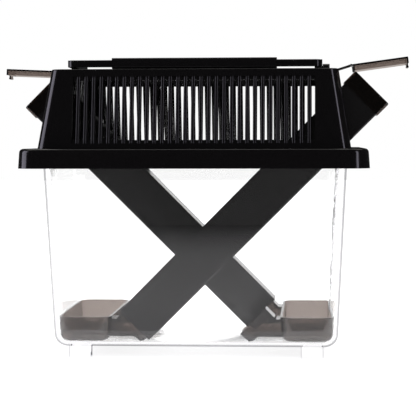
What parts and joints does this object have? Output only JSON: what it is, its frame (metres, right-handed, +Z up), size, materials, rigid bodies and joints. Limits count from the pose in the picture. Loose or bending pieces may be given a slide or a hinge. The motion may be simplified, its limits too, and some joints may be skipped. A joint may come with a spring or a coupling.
{
  "type": "cricket keeper box",
  "caption": "Cricket keeper: clear tank with a black ventilated hood, folding handle, two crossed dark tubes with hinged covers, and feeding dishes.",
  "frame": {"origin": "middle of the base, on the plane that the four feet stand on", "axes": "+X along the tank to the right, towards the mouth of the front tube; +Y from front to back; +Z up"},
  "size_m": [0.2236, 0.116, 0.1578],
  "materials": {
    "clear_styrene": "clear moulded polystyrene, polished",
    "black_gloss": "black moulded plastic, gloss",
    "charcoal": "opaque charcoal plastic, light texture inside",
    "smoky_clear": "smoky brown see-through plastic, polished",
    "smoky_dark": "dark smoky see-through plastic, polished"
  },
  "bodies": {
    "tank": {"tank": "clear_styrene"},
    "lid": {"lid": "black_gloss", "right_strap": "smoky_clear", "left_strap": "smoky_clear"},
    "handle": {"handle": "black_gloss"},
    "right_cover": {"right_cover": "smoky_clear"},
    "left_cover": {"left_cover": "smoky_clear"},
    "front_tube": {"front_tube": "charcoal", "front_collar": "smoky_dark"},
    "back_tube": {"back_tube": "charcoal", "back_collar": "smoky_dark"},
    "left_dish": {"left_dish": "smoky_clear"},
    "right_dish": {"right_dish": "smoky_clear"}
  },
  "joints": [
    {"name": "lid_lift", "type": "slide", "parent": "tank", "child": "lid", "axis": [0, 0, 1], "range_m": [0, 0.15]},
    {"name": "handle_fold", "type": "hinge", "parent": "lid", "child": "handle", "pos_m": [0, 0, 0.154], "axis": [-1, 0, 0], "range_deg": [0, 175]},
    {"name": "right_cover_hinge", "type": "hinge", "parent": "lid", "child": "right_cover", "pos_m": [0.082, -0.0265, 0.1538], "axis": [0, -1, 0], "range_deg": [-52.6, 106]},
    {"name": "left_cover_hinge", "type": "hinge", "parent": "lid", "child": "left_cover", "pos_m": [-0.082, 0.0265, 0.1538], "axis": [0, 1, 0], "range_deg": [-47.3, 112]},
    {"name": "front_tube_slide", "type": "slide", "parent": "lid", "child": "front_tube", "axis": [0.7072, 0, 0.707], "range_m": [0, 0.003]},
    {"name": "back_tube_slide", "type": "slide", "parent": "lid", "child": "back_tube", "axis": [-0.7072, 0, 0.707], "range_m": [0, 0.003]},
    {"name": "left_dish_lift", "type": "slide", "parent": "tank", "child": "left_dish", "axis": [0, 0, 1], "range_m": [0, 0.15]},
    {"name": "right_dish_lift", "type": "slide", "parent": "tank", "child": "right_dish", "axis": [0, 0, 1], "range_m": [0, 0.15]}
  ],
  "couplings": [
    {"joint": "left_dish_lift", "follows": "lid_lift", "ratio": 1},
    {"joint": "right_dish_lift", "follows": "lid_lift", "ratio": 1}
  ]
}
